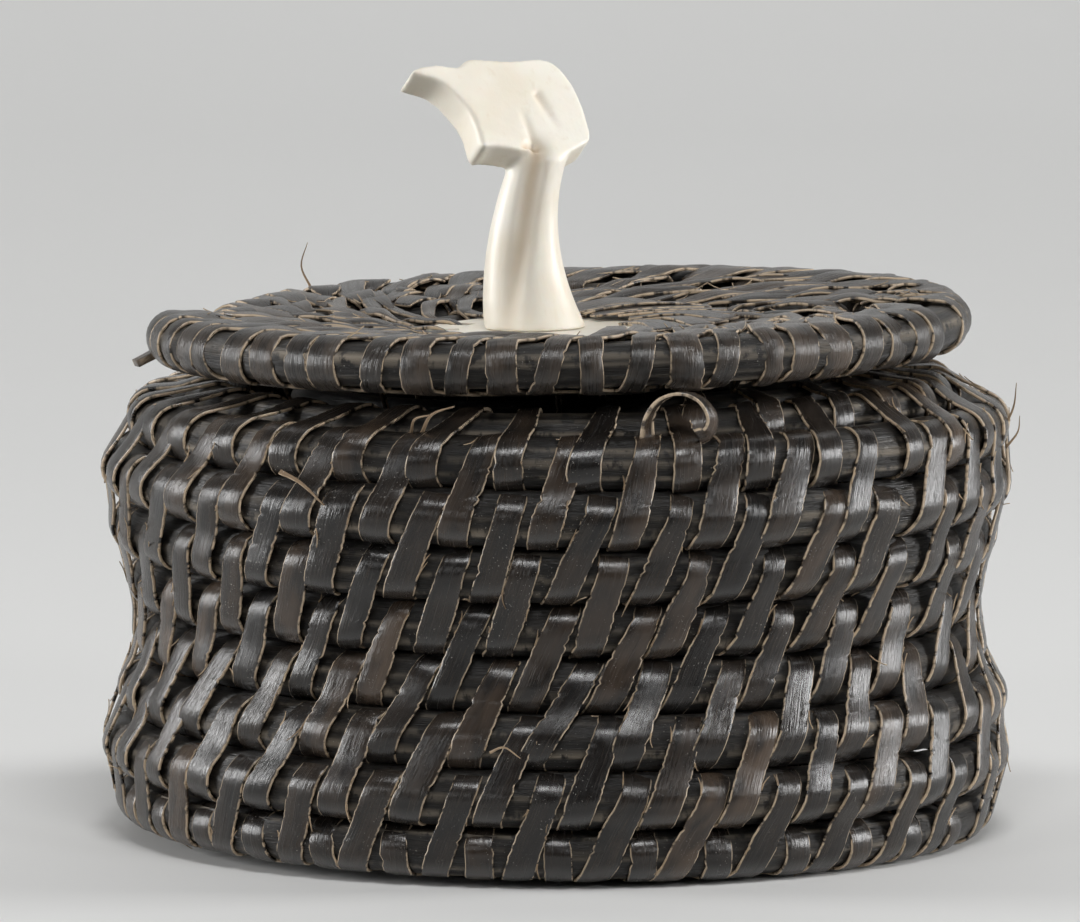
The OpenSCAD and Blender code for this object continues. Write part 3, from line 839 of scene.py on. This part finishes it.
# A short brown end that sticks out under the lid's left edge
STUB_START = np.array([-43.4, -2.4, -1.6])
STUB_RUN = np.array([-2.8, -1.2, -1.3])
STUB_W = 1.9
STUB_T = 0.8
STUB_STEPS = 5
s = np.linspace(0, 1, STUB_STEPS)
middles = STUB_START + s[:, None] * STUB_RUN
width = STUB_W - 0.4 * s + ragged(STUB_STEPS, 0.08)
ribbon(skin, middles, np.tile(UP, (STUB_STEPS, 1)), width, STUB_T, 1.0, 0.5, lid_place)
skin.piece("lid_loose_ends", lid_skin, "lid", "baleen_strip")

skin = Skin()
for row in range(1, LID_TURNS + 1):
    for k in range(LID_STITCHES):
        t = lid_t(row, k)
        if t < LID_END and is_lashing(t, k):
            lower = t - 1 + LASHING_ASIDE / LID_STITCHES
            middle = at(LID, lower)
            out = unit(np.array([middle[0], middle[1], 0.0]))
            along = unit(heading(LID, lower) + np.cross(out, UP))
            low = FLANGE_R * out + FLANGE_Z * UP
            strip(skin, low, middle, along, -1, LASHING_W, 0.0, SNUG_R, SNUG_R, lid_place,
                  brown=brownness(), dip=0.1, taper=0.0)
skin.piece("flange_lashing", strip_skin, "lid", "baleen_strip", ["lid_flange_lashings"])


def lacing(skin, path, disc_r, laces, z, place):
    """Strips that lace the first turn of a coil through the slots of its starter disc."""
    inner_r = disc_r - SLOT_INSET + WRAP_R - STRIP_T / 2
    for t in laces:
        rod = at(path, t)
        out = unit(np.array([rod[0], rod[1], 0.0]))
        strip(skin, inner_r * out + z * UP, rod, np.cross(out, UP), 1, LACE_W, 0.0, SNUG_R, SNUG_R, place,
              brown=chance.uniform(0.1, 0.6), dip=0.12, taper=0.0)


skin = Skin()
laces = [(k + 0.5) / BASE_STITCHES for k in range(BASE_STITCHES)]
lacing(skin, BASKET, BASE_DISC_R, laces, WRAP_R, None)
skin.piece("base_laces", strip_skin, "basket", "baleen_strip", ["base_lacing"])
skin = Skin()
# The lid's first turn is laced to its disc until it leaves the disc's edge
laces = [(k + 0.5) / LID_STITCHES for k in range(0, LID_STITCHES - 6, 2)]
lacing(skin, LID, LID_DISC_R, laces, -LID_DISH, lid_place)
skin.piece("lid_laces", lid_skin, "lid", "baleen_strip", ["lid_lacing"])


# Rods
ROD_OUT_R = 2.42
ROD_STACK_R = 2.84
# Between other courses of the wall the rod is squeezed a little taller
SQUEEZED_R = 3.0
SQUEEZED_T = (BASE_TURNS + 1.0, BASE_TURNS + 1.3, WALL_END - 1.5, WALL_END - 1.2)
SQUEEZED = (ROD_STACK_R, SQUEEZED_R, SQUEEZED_R, ROD_STACK_R)
ROD_SIDES = 40
ROD_STEPS = 130
RIDGE = 0.0375
ROD_BROWN = 0.075
ROD_END = 0.25


def tube(skin, middles, stack, out_r, stack_r, sides, place=None, taper=(0.0, 0.0)):
    """A fibrous rod along a list of points, oval towards its neighbours, drawn in over the taper lengths."""
    middles = np.array(middles)
    stack = np.array(stack)
    n = len(middles)
    ahead = units(np.gradient(middles, axis=0))
    run = run_along(middles)
    over = units(stack - (stack * ahead).sum(axis=1)[:, None] * ahead)
    out = np.cross(over, ahead)
    around = np.linspace(0, 2 * math.pi, sides + 1)
    angle = around[:-1]
    height = np.zeros((n, sides))
    for count in (3, 5, 8, 11):
        drift = wave(run, 0.5, 0.05) + phase()
        swell = 0.6 + 0.4 * np.sin(run * chance.uniform(0.05, 0.2) + phase())
        height += swell[:, None] * np.sin(count * angle + drift[:, None])
    for j in range(sides):
        fibre = chance.uniform(-1, 1)
        height[:, j] += 0.9 * fibre * (1 + wave(run, 0.6, 0.11))
    shrink = np.ones(n)
    for reach, from_end in zip(taper, (run, run[-1] - run)):
        if reach:
            shrink *= ROD_END + (1 - ROD_END) * np.sqrt(smooth(from_end / reach))
    along_out = (out_r + RIDGE * height) * np.cos(angle) * shrink[:, None]
    along_over = (stack_r + RIDGE * height) * np.sin(angle) * shrink[:, None]
    points = middles[:, None] + along_out[..., None] * out[:, None] + along_over[..., None] * over[:, None]
    if place:
        points = place(points)
    tone = np.ones((n, sides, 4))
    tone[..., 0] = chance.random()
    # Painted highlight: the highest fibres get the pale edge colour.
    tone[..., 1] = np.clip(height * 0.35 - 0.1, 0, 1)
    tone[..., 2] = ROD_BROWN
    skin.grid(points, np.tile(around * out_r, (n, 1)), run + chance.uniform(0, GRAIN_RUN), tone)


def stacking(path, t):
    """The way from the course below a point on a coil to the course above it."""
    low = t - 1 if t > 1 else t
    high = t + 1 if t + 1 < (len(path) - 1) / 2 else t
    return at(path, high) - at(path, low)


def rod(name, path, first, last, node, body, place=None, taper=(0.0, 0.0)):
    skin = Skin()
    turns = np.linspace(first, last, int((last - first) * ROD_STEPS) + 1)
    middles = [at(path, t) for t in turns]
    stack = [stacking(path, t) for t in turns]
    stack_r = np.interp(turns, SQUEEZED_T, SQUEEZED)[:, None]
    tube(skin, middles, stack, ROD_OUT_R, stack_r, ROD_SIDES, place, taper)
    skin.piece(name, rod_skin, body, "baleen_rod", [node])


rod_end = WALL_END - 2 * NUDGE
rod("base_rod", BASKET, NUDGE, BASE_TURNS - NUDGE, "base_coil", "basket", None, (6.0, 0.0))
rod("wall_rod", BASKET, BASE_TURNS + NUDGE, SHOULDER_START - NUDGE, "wall_coil", "basket")
rod("shoulder_rod", BASKET, SHOULDER_START + NUDGE, rod_end, "shoulder_coil", "basket", None, (0.0, 7.0))
rod("lid_rod", LID, NUDGE, LID_END - 2 * NUDGE, "lid_coil", "lid", lid_place, (6.0, 3.0))

FLANGE_STEPS = 120
FLANGE_SIDES = 30
first = math.pi / 2 + FLANGE_SPLIT / 2
ring = []
for k in range(FLANGE_STEPS + 1):
    a = first + (2 * math.pi - FLANGE_SPLIT) * k / FLANGE_STEPS
    ring.append((FLANGE_R * math.cos(a), FLANGE_R * math.sin(a), FLANGE_Z))
skin = Skin()
tube(skin, ring, [UP] * len(ring), ROD_D / 2, ROD_D / 2, FLANGE_SIDES, lid_place, (2.0, 2.0))
skin.piece("flange_rod", rod_skin, "lid", "baleen_rod", ["lid_flange_coil"])


# Loose fibres and the curled strip end, placed in the frame of the whole
def between(a, b, c, d, steps):
    """Points from b to just before c on a smooth curve through a, b, c and d."""
    s = np.arange(steps)[:, None] / steps
    return b + 0.5 * s * (c - a + s * (2 * a - 5 * b + 4 * c - d + s * (3 * (b - c) + d - a)))


def spline(corners, steps):
    """A smooth open curve through a few points."""
    p = np.array(corners, dtype=float)
    p = np.concatenate([[2 * p[0] - p[1]], p, [2 * p[-1] - p[-2]]])
    spans = [between(*p[k - 1:k + 3], steps) for k in range(1, len(p) - 2)]
    return np.concatenate(spans + [p[-2:-1]])


def stray(skin, corners, width, thick, brown):
    """A loose fibre that stands off the work, thinner towards its end."""
    middles = spline(corners, 5)
    s = np.linspace(0, 1, len(middles))
    faces = np.tile(unit(np.array([0.0, -1.0, 0.4])), (len(middles), 1))
    ribbon(skin, middles, faces, width * (1 - 0.75 * s), thick, brown)


stray(basket_fibres, ((-29.6, -39.5, 43.9), (-27.3, -41.6, 42.9), (-24.8, -43.2, 40.7)), 0.55, 0.2, 0.1)
stray(basket_fibres, ((-14.5, -42.9, 48.3), (-13.4, -44.2, 50.5), (-11.0, -45.2, 51.5)), 0.45, 0.2, 0.5)
stray(basket_fibres, ((-15.6, -42.6, 48.3), (-15.2, -44.2, 50.0), (-13.6, -45.4, 50.6)), 0.35, 0.2, 0.3)
stray(basket_fibres, ((-7.2, -48.9, 15.0), (-5.7, -50.0, 15.7), (-4.0, -49.7, 14.5)), 0.3, 0.12, 0.9)
stray(basket_fibres, ((48.6, -6.0, 44.6), (49.8, -6.6, 47.2), (50.1, -7.4, 50.0)), 0.35, 0.15, 0.6)
stray(basket_fibres, ((48.9, -8.5, 43.0), (50.2, -9.0, 44.8), (50.4, -9.2, 46.6)), 0.3, 0.12, 0.8)
stray(lid_fibres, ((-27.5, 25.5, 57.2), (-28.6, 26.2, 59.6), (-27.9, 26.6, 62.2)), 0.3, 0.12, 0.3)

# The end of a strip that curls up beside the coil's end, round a middle
CURL = ((9.4, -44.6, 47.9), (9.6, -45.3, 50.2), (10.8, -45.9, 52.2), (13.0, -46.2, 53.0),
        (15.1, -46.2, 52.3), (16.3, -46.0, 50.5), (16.0, -45.8, 48.9), (14.8, -45.7, 48.3))
CURL_MIDDLE = np.array([12.9, -45.8, 50.4])
CURL_W = 2.5
skin = Skin()
middles = spline(CURL, 6)
outward = units((middles - CURL_MIDDLE) * np.array([1.0, 0.0, 1.0]))
lean = np.radians(np.linspace(-40, 45, len(middles)))
faces = np.cos(lean)[:, None] * outward + np.sin(lean)[:, None] * np.array([0.0, -1.0, 0.0])
ribbon(skin, middles, faces, CURL_W + ragged(len(middles), 0.04), DRAWN_T, 0.9)
skin.piece("coil_end_curl", strip_skin, "basket", "baleen_strip")

basket_fibres.piece("basket_fibres", fibre_skin, "basket", "baleen_strip")
lid_fibres.piece("lid_fibres", fibre_skin, "lid", "baleen_strip")


# Finial: a waisted stem that runs on into a pair of thick flukes, turned and leaning back as in CAD
STEM_H = 18.9
STEM_FOOT_W = 11.3
STEM_NECK_W = 6.3
STEM_FLATNESS = 0.85
STEM_LEAN = 0.8
STEM_BOW = 6.2
STEM_RINGS = 48
FINIAL_SHIFT = 2.4
CHORD = 12.3
FLUKE_T = 4.0
YAW = math.radians(32)
BACK_LEAN = math.radians(40)
STEM_TOP = 1 + 0.55 * CHORD / STEM_H
# The rough form is remade from cubes of this size and smoothed this many times
VOXEL = 0.22
SMOOTHINGS = 36
back = np.array([-math.sin(YAW), math.cos(YAW), 0.0])
across = np.array([math.cos(YAW), math.sin(YAW), 0.0])
rise = math.cos(BACK_LEAN) * UP + math.sin(BACK_LEAN) * back
facing = np.cross(across, rise)
# A point on the flukes' lit face, from the middle of the stem's foot
FACE_POINT = np.array([STEM_LEAN, 0.0, STEM_H]) + 0.48 * CHORD * rise + FLUKE_T / 2 * facing
# The camera looks down a little: a point that lies 1 mm further back looks this much higher
VIEW_FALL = 0.112
# Outline of that face from the front: distance to the right of the foot's middle, and height
FLUKE_OUTLINE = ((-13.0, 28.5), (-10.5, 29.3), (-7.9, 29.0), (-6.7, 29.9), (-2.1, 29.7), (1.5, 29.9),
                 (3.6, 28.5), (5.4, 25.4), (6.5, 21.2), (5.4, 20.0), (3.2, 19.1), (0.0, 19.5), (-3.9, 20.1),
                 (-5.4, 20.2), (-6.3, 23.1), (-7.9, 25.5), (-10.1, 27.5))
# Carved lines, seen in the same way
STEM_VALLEY = ((0.5, 19.7), (-0.8, 12.3), (-2.0, 5.7), (-3.4, -1.5))
LEFT_CREASE = ((-1.0, 23.9), (0.3, 20.6))
RIGHT_CREASE = ((0.7, 25.8), (2.7, 22.3))
UNDER_NOTCH = ((-0.6, 20.1), (0.6, 19.9))
# Each line with its half width, its depth at both ends, and how much painted shade its hollows get
CARVED_LINES = (
    (STEM_VALLEY, 1.1, 0.85, 0.25, 0.7),
    (LEFT_CREASE, 0.4, 0.05, 0.55, 0.35),
    (RIGHT_CREASE, 0.45, 0.4, 0.05, 0.3),
    (UNDER_NOTCH, 0.5, 0.3, 0.3, 0.8),
)


def stem_ring(u, sides):
    """A ring round the stem at a share u of its height, past 1 inside the flukes."""
    over = max(0.0, u - 1)
    w = (STEM_NECK_W + (STEM_FOOT_W - STEM_NECK_W) * max(0.0, 1 - u) ** 1.6) / 2
    w *= 1 - 0.65 * over / (STEM_TOP - 1)
    x = STEM_LEAN * u - STEM_BOW * u * (1 - min(u, 1.0))
    shift = over * STEM_H * math.tan(BACK_LEAN) * back
    a = np.linspace(0, -2 * math.pi, sides, endpoint=False)
    ring = np.stack([x + w * np.cos(a), STEM_FLATNESS * w * np.sin(a), np.full(sides, STEM_H * u)], axis=1)
    return ring + shift


def on_face(x, seen_z):
    """The point of the flukes' face that is seen at a place from the front."""
    lead = facing[0] * (x - FACE_POINT[0]) + facing[2] * (seen_z - FACE_POINT[2])
    y = (FACE_POINT[1] - lead / facing[1]) / (1 - VIEW_FALL * facing[2] / facing[1])
    return np.array([x, y, seen_z - VIEW_FALL * y])


def rounded(corners, steps):
    """A smooth closed curve through the corners of an outline."""
    p = np.array(corners)
    n = len(p)
    spans = [between(p[k - 1], p[k], p[(k + 1) % n], p[(k + 2) % n], steps) for k in range(n)]
    return np.concatenate(spans)


def shell(rings):
    """Closed faces over rings of points."""
    count = len(rings[0])
    last = len(rings) - 1
    points = [tuple(p) for ring in rings for p in ring]
    faces = []
    for i in range(last):
        for j in range(count):
            a = i * count + j
            b = i * count + (j + 1) % count
            faces.append((a, b, b + count, a + count))
    faces.append(tuple(range(count))[::-1])
    faces.append(tuple(last * count + j for j in range(count)))
    return points, faces


def near_line(x, z, line):
    """Distance from a line of several points, all seen from the front, and share of the way along it."""
    best = np.full(len(x), np.inf)
    share = np.zeros(len(x))
    for k, ((ax, az), (bx, bz)) in enumerate(zip(line, line[1:])):
        dx = bx - ax
        dz = bz - az
        f = np.clip(((x - ax) * dx + (z - az) * dz) / (dx * dx + dz * dz), 0, 1)
        here = np.hypot(x - ax - f * dx, z - az - f * dz)
        share = np.where(here < best, (k + f) / (len(line) - 1), share)
        best = np.minimum(best, here)
    return best, share


def join_finial():
    """The stem and the flukes as one smooth mesh, on the foot's middle."""
    points, faces = shell([stem_ring(STEM_TOP * i / STEM_RINGS, 48) for i in range(STEM_RINGS + 1)])
    front = np.array([on_face(x, z) for x, z in rounded(FLUKE_OUTLINE, 6)])
    more, more_faces = shell([front - FLUKE_T * f * facing for f in (0.0, 0.5, 1.0)])
    faces = faces + [tuple(k + len(points) for k in f) for f in more_faces]
    mesh = bpy.data.meshes.new("finial_rough")
    mesh.from_pydata((np.array(points + more) * MM).tolist(), [], faces)
    rough = bpy.data.objects.new("finial_rough", mesh)
    bpy.context.collection.objects.link(rough)
    remesh = rough.modifiers.new("remesh", "REMESH")
    remesh.mode = "VOXEL"
    remesh.voxel_size = VOXEL * MM
    soften = rough.modifiers.new("soften", "SMOOTH")
    soften.factor = 0.5
    soften.iterations = SMOOTHINGS
    bpy.context.view_layer.update()
    depsgraph = bpy.context.evaluated_depsgraph_get()
    joined = bpy.data.meshes.new_from_object(rough.evaluated_get(depsgraph))
    bpy.data.objects.remove(rough)
    return joined


def of_vertices(mesh, what):
    values = np.empty(len(mesh.vertices) * 3)
    mesh.vertices.foreach_get(what, values)
    return values.reshape(-1, 3)


def make_finial():
    carved = join_finial()
    co = of_vertices(carved, "co") / MM
    way = of_vertices(carved, "normal")
    seen_z = co[:, 2] + VIEW_FALL * co[:, 1]
    faces_front = smooth(-way[:, 1] / 0.4)
    hollow_shade = np.zeros(len(co))
    for line, width, depth, end_depth, shade_hollows in CARVED_LINES:
        distance, along_line = near_line(co[:, 0], seen_z, line)
        cut = np.exp(-(distance / width) ** 2) * faces_front * (depth + (end_depth - depth) * along_line)
        co = co - cut[:, None] * way
        # Painted shade: each cut's share of darker tan grows with its depth.
        hollow_shade = np.maximum(hollow_shade, shade_hollows * cut / max(depth, end_depth))
    tone = np.zeros((len(co), 4))
    tone[:, 0] = 0.5
    tone[:, 1] = hollow_shade
    tone[:, 3] = 1
    co = co + np.array([-FINIAL_SHIFT, 0.0, LID_DISC_TOP])
    carved.vertices.foreach_set("co", (lid_place(co) * MM).ravel())
    add_piece("whale_tail", carved, tone, ivory_carved, "lid", ["finial"])


make_finial()

# CAD nodes that stay
kept = {"base_starter_disc": ivory_plain, "lid_starter_disc": ivory_plain, "finial_peg": peg_wood}
for name, material in kept.items():
    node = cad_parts[name]
    node.data.materials.clear()
    node.data.materials.append(material)

# Floor, light and camera, in metres
FLOOR_SIDE = 4.0
FLOOR_FRONT = -3.0
CURVE_START = 0.9
CURVE_R = 0.8
CURVE_STEPS = 12
BACK_TOP = 3.0


def make_stage():
    """A floor that curves up into a backdrop."""
    material, shader = new_material("pale_floor")
    tree = Tree(material)
    cloud = tree.noise(tree.place(), 3.0, 2.0, 0.5)
    tree.put(shader.inputs["Base Color"], tree.mix(cloud, (0.74, 0.74, 0.73, 1), (0.78, 0.78, 0.77, 1)))
    shader.inputs["Roughness"].default_value = 0.75
    profile = [(FLOOR_FRONT, 0.0)]
    for k in range(CURVE_STEPS + 1):
        a = math.pi / 2 * k / CURVE_STEPS
        profile.append((CURVE_START + CURVE_R * math.sin(a), CURVE_R * (1 - math.cos(a))))
    profile.append((CURVE_START + CURVE_R, BACK_TOP))
    points = []
    for y, z in profile:
        points.append((-FLOOR_SIDE, y, z))
        points.append((FLOOR_SIDE, y, z))
    faces = [(2 * k, 2 * k + 1, 2 * k + 3, 2 * k + 2) for k in range(len(profile) - 1)]
    mesh = bpy.data.meshes.new("floor")
    mesh.from_pydata(points, [], faces)
    mesh.materials.append(material)
    mesh.polygons.foreach_set("use_smooth", np.ones(len(mesh.polygons), dtype=bool))
    floor = bpy.data.objects.new("floor", mesh)
    bpy.context.collection.objects.link(floor)


def turned_to(thing, target):
    aim = Vector(target) - thing.location
    thing.rotation_euler = aim.to_track_quat("-Z", "Y").to_euler()
    bpy.context.collection.objects.link(thing)


def area_light(name, place, target, size, power, spread=180):
    data = bpy.data.lights.new(name, "AREA")
    data.shape = "RECTANGLE"
    data.size = size[0]
    data.size_y = size[1]
    data.energy = power
    data.spread = math.radians(spread)
    lamp = bpy.data.objects.new(name, data)
    lamp.location = place
    turned_to(lamp, target)


make_stage()
area_light("top", (0.06, -0.6, 0.78), (0, 0, 0.05), (0.34, 0.22), 0.46, 60)
area_light("left", (-0.72, 0.06, 0.15), (0, 0, 0.06), (0.26, 0.26), 4.2)
area_light("right", (0.72, 0.04, 0.17), (0, 0, 0.06), (0.26, 0.26), 4.5)
area_light("front_right", (0.75, -0.85, 0.45), (0, 0, 0.06), (0.25, 0.25), 0.17, 60)
area_light("front_left", (-0.75, -0.8, 0.42), (0, 0, 0.06), (0.25, 0.25), 0.13, 60)
area_light("backdrop", (0.0, 0.55, 1.3), (0, 1.7, 0.5), (1.6, 0.4), 14.0)

world = bpy.data.worlds.new("studio")
world.use_nodes = True
background = world.node_tree.nodes["Background"]
background.inputs["Color"].default_value = (0.95, 0.97, 1.0, 1)
background.inputs["Strength"].default_value = 0.05
bpy.context.scene.world = world

camera_data = bpy.data.cameras.new("camera")
camera_data.sensor_fit = "HORIZONTAL"
camera_data.sensor_width = 36.0
camera_data.lens = 397.0
camera_data.clip_end = 20.0
camera = bpy.data.objects.new("camera", camera_data)
camera.location = (-0.0019, -1.3, 0.187)
turned_to(camera, (-0.0019, 0.0, 0.0406))
bpy.context.scene.camera = camera
bpy.context.scene.view_settings.view_transform = "Standard"
